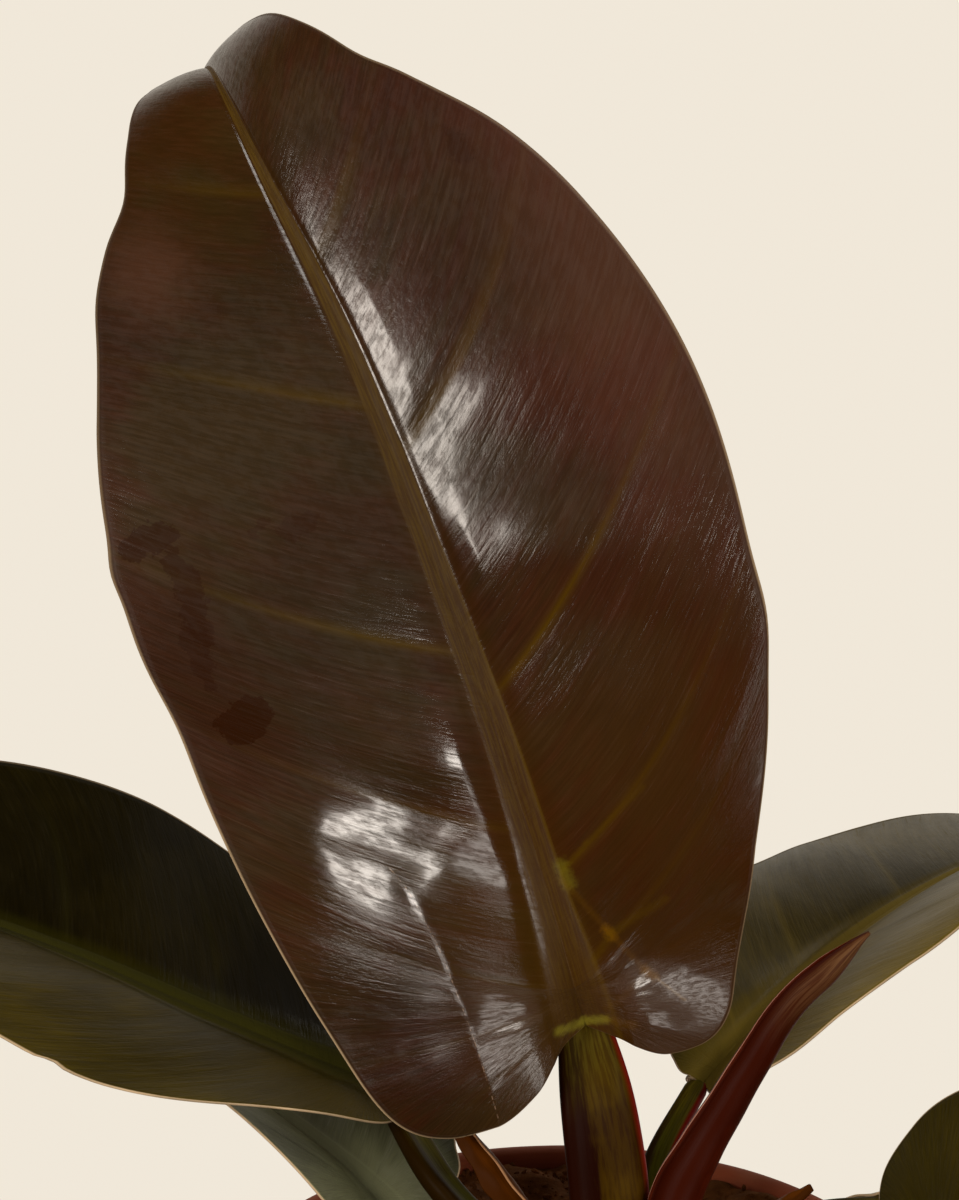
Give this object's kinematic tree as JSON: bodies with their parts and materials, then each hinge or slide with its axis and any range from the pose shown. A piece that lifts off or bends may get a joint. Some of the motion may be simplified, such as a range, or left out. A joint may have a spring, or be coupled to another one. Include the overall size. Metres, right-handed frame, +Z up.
{
  "type": "potted imperial red philodendron",
  "caption": "Rosette of large glossy bronze and dark green leaves on channelled red stalks, with one leaf still rolled, growing in soil in a collared clay pot.",
  "frame": {"origin": "centre of the pot's flat underside", "axes": "+Z up, -Y towards the front, where the large leaf shows its upper face, and +X to the right as seen from there"},
  "size_m": [0.392, 0.335, 0.3687],
  "materials": {
    "clay": "unglazed fired clay, dry and matte, a little chalky",
    "potting_soil": "moist potting mix of bark and coir fibre, crumbly",
    "stem_bark": "ringed green-brown bark",
    "bronze_leaf": "waxy leaf, dark bronze, glossy, with fine side veins",
    "dark_leaf": "waxy leaf, very dark green, satin, with a green midrib",
    "green_leaf": "waxy older leaf, grey green, satin",
    "leaf_stalk": "smooth olive stalk, red at its edges",
    "rolled_leaf": "smooth dark red young leaf, satin",
    "papery_sheath": "dry red-brown papery sheath"
  },
  "bodies": {
    "root": {"pot": "clay", "soil": "potting_soil", "stem": "stem_bark", "main_leaf_blade": "bronze_leaf", "main_leaf_stalk": "leaf_stalk", "rolled_leaf": "rolled_leaf", "left_leaf_blade": "dark_leaf", "left_leaf_stalk": "leaf_stalk", "low_left_leaf_blade": "dark_leaf", "low_left_leaf_stalk": "leaf_stalk", "right_back_leaf_blade": "green_leaf", "right_back_leaf_stalk": "leaf_stalk", "low_right_leaf_blade": "green_leaf", "low_right_leaf_stalk": "leaf_stalk", "right_front_leaf_blade": "dark_leaf", "right_front_leaf_stalk": "leaf_stalk", "front_leaf_blade": "dark_leaf", "front_leaf_stalk": "leaf_stalk", "front_left_leaf_blade": "green_leaf", "front_left_leaf_stalk": "leaf_stalk", "back_leaf_blade": "bronze_leaf", "back_leaf_stalk": "leaf_stalk", "left_sheath": "papery_sheath", "right_sheath": "papery_sheath"}
  },
  "joints": []
}
